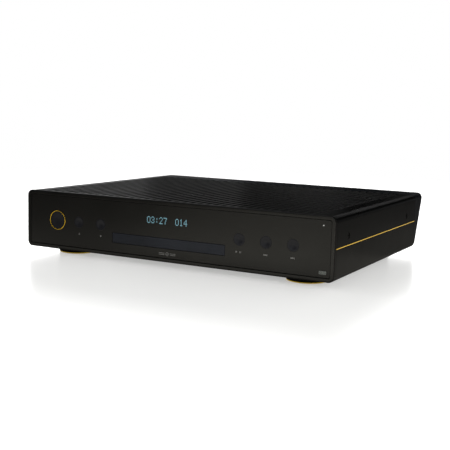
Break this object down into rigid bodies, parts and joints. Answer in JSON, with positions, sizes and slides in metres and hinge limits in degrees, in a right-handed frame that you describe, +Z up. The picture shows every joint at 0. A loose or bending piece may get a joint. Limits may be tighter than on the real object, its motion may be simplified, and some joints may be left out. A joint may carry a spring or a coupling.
{
  "type": "cd player",
  "caption": "Full-width hi-fi CD player with a motor-driven disc tray, hinged laser deck, dished front buttons, ribbed cover and rear sockets.",
  "frame": {"origin": "bottom centre of the whole player, on the table under its middle", "axes": "+X to the right seen from the front, +Y from the front to the rear, +Z up"},
  "size_m": [0.431, 0.344, 0.083],
  "materials": {
    "black_coat": "fine satin black powder coat on sheet metal",
    "rim_black": "satin black anodised rim",
    "panel_black": "dark tinted front sheet with a fine satin face",
    "button_black": "satin blue-black moulded buttons and tray door",
    "gold": "bright gold-anodised trim",
    "steel": "plain and blackened steel",
    "zinc_plate": "zinc-plated sheet steel",
    "black_plastic": "black moulded plastic",
    "grey_plastic": "grey moulded acetal",
    "rubber": "black rubber",
    "board_green": "green circuit board with its parts",
    "light_lens": "clear light pipe, lit white",
    "copper": "laminated core with taped windings",
    "display_glass": "dark display glass"
  },
  "bodies": {
    "chassis": {"base_pan": "zinc_plate", "rear_panel": "black_coat", "top_cover": "black_coat", "rear_hood": "black_coat", "side_strip_left": "gold", "side_strip_right": "gold", "cover_screw_front_left": "steel", "cover_screw_front_right": "steel", "cover_screw_rear_left": "steel", "cover_screw_rear_right": "steel", "fascia_frame": "rim_black", "fascia_panel": "panel_black", "power_ring": "gold", "display_module": "display_glass", "status_led": "light_lens", "badge_plate": "steel", "front_board": "board_green", "main_board": "board_green", "power_board": "board_green", "transformer": "copper", "mains_inlet": "black_plastic", "rca_left": "gold", "rca_right": "gold", "coax_jack": "gold", "optical_port": "black_plastic", "loader_frame": "black_plastic", "clamp_bridge": "zinc_plate", "loading_motor": "steel", "drive_belt": "rubber", "deck_pivot_shaft": "steel", "foot_front_left": "rubber", "foot_ring_front_left": "gold", "foot_front_right": "rubber", "foot_ring_front_right": "gold", "foot_rear_left": "rubber", "foot_ring_rear_left": "gold", "foot_rear_right": "rubber", "foot_ring_rear_right": "gold"},
    "tray": {"tray": "black_plastic", "tray_door": "button_black"},
    "drive_gear": {"drive_gear": "grey_plastic"},
    "motor_pulley": {"motor_pulley": "grey_plastic"},
    "deck": {"laser_deck": "zinc_plate", "guide_rod_left": "steel", "guide_rod_right": "steel", "spindle_motor": "steel", "sled_motor": "steel"},
    "turntable": {"turntable": "grey_plastic"},
    "clamp_puck": {"clamp_puck": "grey_plastic"},
    "laser_sled": {"laser_sled": "black_plastic", "laser_lens": "display_glass"},
    "sled_gear": {"sled_gear": "grey_plastic"},
    "mains_rocker": {"mains_rocker": "black_plastic"},
    "power_button": {"power_button": "button_black"},
    "eject_button": {"eject_button": "button_black"},
    "stop_button": {"stop_button": "button_black"},
    "play_button": {"play_button": "button_black"},
    "skip_back_button": {"skip_back_button": "button_black"},
    "skip_forward_button": {"skip_forward_button": "button_black"}
  },
  "joints": [
    {"name": "tray_slide", "type": "slide", "parent": "chassis", "child": "tray", "axis": [0, -1, 0], "range_m": [0, 0.14]},
    {"name": "drive_gear_spin", "type": "hinge", "parent": "chassis", "child": "drive_gear", "pos_m": [0.0766, -0.134, 0.0315], "axis": [0, 0, 1], "range_deg": [-5, 775]},
    {"name": "motor_pulley_spin", "type": "hinge", "parent": "chassis", "child": "motor_pulley", "pos_m": [0.104, -0.134, 0.0345], "axis": [0, 0, 1], "range_deg": [-10, 2200]},
    {"name": "deck_tilt", "type": "hinge", "parent": "chassis", "child": "deck", "pos_m": [0, 0.014, 0.02075], "axis": [1, 0, 0], "range_deg": [0, 3.5]},
    {"name": "turntable_spin", "type": "hinge", "parent": "deck", "child": "turntable", "pos_m": [0, -0.097, 0.0315], "axis": [0, 0, 1], "continuous": true},
    {"name": "clamp_spin", "type": "hinge", "parent": "chassis", "child": "clamp_puck", "pos_m": [0, -0.097, 0.043], "axis": [0, 0, 1], "continuous": true},
    {"name": "sled_travel", "type": "slide", "parent": "deck", "child": "laser_sled", "axis": [0, 1, 0], "range_m": [0, 0.035]},
    {"name": "sled_gear_spin", "type": "hinge", "parent": "deck", "child": "sled_gear", "pos_m": [0.034, -0.054, 0.024], "axis": [0, 0, 1], "range_deg": [-340, 3]},
    {"name": "mains_rocker_tilt", "type": "hinge", "parent": "chassis", "child": "mains_rocker", "pos_m": [-0.122, 0.1315, 0.042], "axis": [1, 0, 0], "range_deg": [0, 16]},
    {"name": "power_press", "type": "slide", "parent": "chassis", "child": "power_button", "axis": [0, 1, 0], "range_m": [0, 0.001], "stiffness_N_per_m": 600},
    {"name": "eject_press", "type": "slide", "parent": "chassis", "child": "eject_button", "axis": [0, 1, 0], "range_m": [0, 0.001], "stiffness_N_per_m": 600},
    {"name": "stop_press", "type": "slide", "parent": "chassis", "child": "stop_button", "axis": [0, 1, 0], "range_m": [0, 0.001], "stiffness_N_per_m": 600},
    {"name": "play_press", "type": "slide", "parent": "chassis", "child": "play_button", "axis": [0, 1, 0], "range_m": [0, 0.001], "stiffness_N_per_m": 600},
    {"name": "skip_back_press", "type": "slide", "parent": "chassis", "child": "skip_back_button", "axis": [0, 1, 0], "range_m": [0, 0.001], "stiffness_N_per_m": 600},
    {"name": "skip_forward_press", "type": "slide", "parent": "chassis", "child": "skip_forward_button", "axis": [0, 1, 0], "range_m": [0, 0.001], "stiffness_N_per_m": 600}
  ],
  "couplings": [
    {"joint": "drive_gear_spin", "follows": "tray_slide", "rad_per_m": 95.238},
    {"joint": "motor_pulley_spin", "follows": "tray_slide", "rad_per_m": 271.06},
    {"joint": "clamp_spin", "follows": "turntable_spin", "ratio": 1},
    {"joint": "sled_gear_spin", "follows": "sled_travel", "rad_per_m": -166.67}
  ]
}
